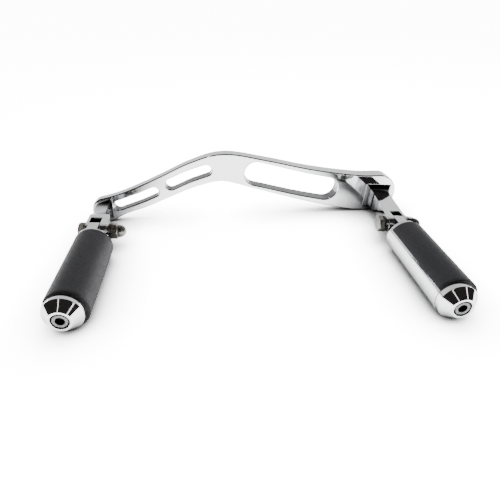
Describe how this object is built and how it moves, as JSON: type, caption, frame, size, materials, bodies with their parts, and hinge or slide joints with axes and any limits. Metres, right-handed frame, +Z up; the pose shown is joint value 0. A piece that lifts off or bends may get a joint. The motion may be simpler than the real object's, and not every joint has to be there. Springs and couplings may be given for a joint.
{
  "type": "pair of motorcycle footpegs",
  "caption": "Folding motorcycle footpegs with rubber pads on a slotted, arched chrome arm, each hinged in a fork on a hex bolt with an acorn nut",
  "frame": {"origin": "bottom centre of the part's box: the ground, midway between the arm's two ends and midway between the right cap's face and the arm's back", "axes": "+X along the arm towards the end with the wide round, -Y the way the pegs point, +Z up as it stands on the arm's ends and the pegs"},
  "size_m": [0.4168, 0.26, 0.09],
  "materials": {
    "arm_chrome": "mirror chrome plating on an aluminium casting",
    "peg_chrome": "mirror chrome plating on a turned aluminium body",
    "cap_chrome": "mirror chrome plating on a turned aluminium cap",
    "tongue_chrome": "chrome plating on steel, a little duller",
    "pad_rubber": "satin moulded rubber",
    "screw_steel": "satin steel",
    "pivot_zinc": "dull zinc plate"
  },
  "bodies": {
    "arm_body": {"arm": "arm_chrome", "left_pivot_bolt": "pivot_zinc", "left_head_washer": "pivot_zinc", "left_wave_washer": "pivot_zinc", "left_nut_washer": "pivot_zinc", "left_acorn_nut": "pivot_zinc", "right_pivot_bolt": "pivot_zinc", "right_head_washer": "pivot_zinc", "right_wave_washer": "pivot_zinc", "right_nut_washer": "pivot_zinc", "right_acorn_nut": "pivot_zinc"},
    "left_peg": {"left_peg_shell": "peg_chrome", "left_rubber_pad": "pad_rubber", "left_end_cap": "cap_chrome", "left_long_screw": "screw_steel", "left_spring_lock_washer": "screw_steel", "left_peg_tongue": "tongue_chrome"},
    "right_peg": {"right_peg_shell": "peg_chrome", "right_rubber_pad": "pad_rubber", "right_end_cap": "cap_chrome", "right_long_screw": "screw_steel", "right_spring_lock_washer": "screw_steel", "right_peg_tongue": "tongue_chrome"}
  },
  "joints": [
    {"name": "left_peg_fold", "type": "hinge", "parent": "arm_body", "child": "left_peg", "pos_m": [-0.1869, 0.0447, 0.023], "axis": [-0.9976, 0, 0.0698], "range_deg": [0, 90]},
    {"name": "right_peg_fold", "type": "hinge", "parent": "arm_body", "child": "right_peg", "pos_m": [0.1761, 0.0267, 0.023], "axis": [-0.9976, 0, 0.0698], "range_deg": [0, 90]}
  ]
}
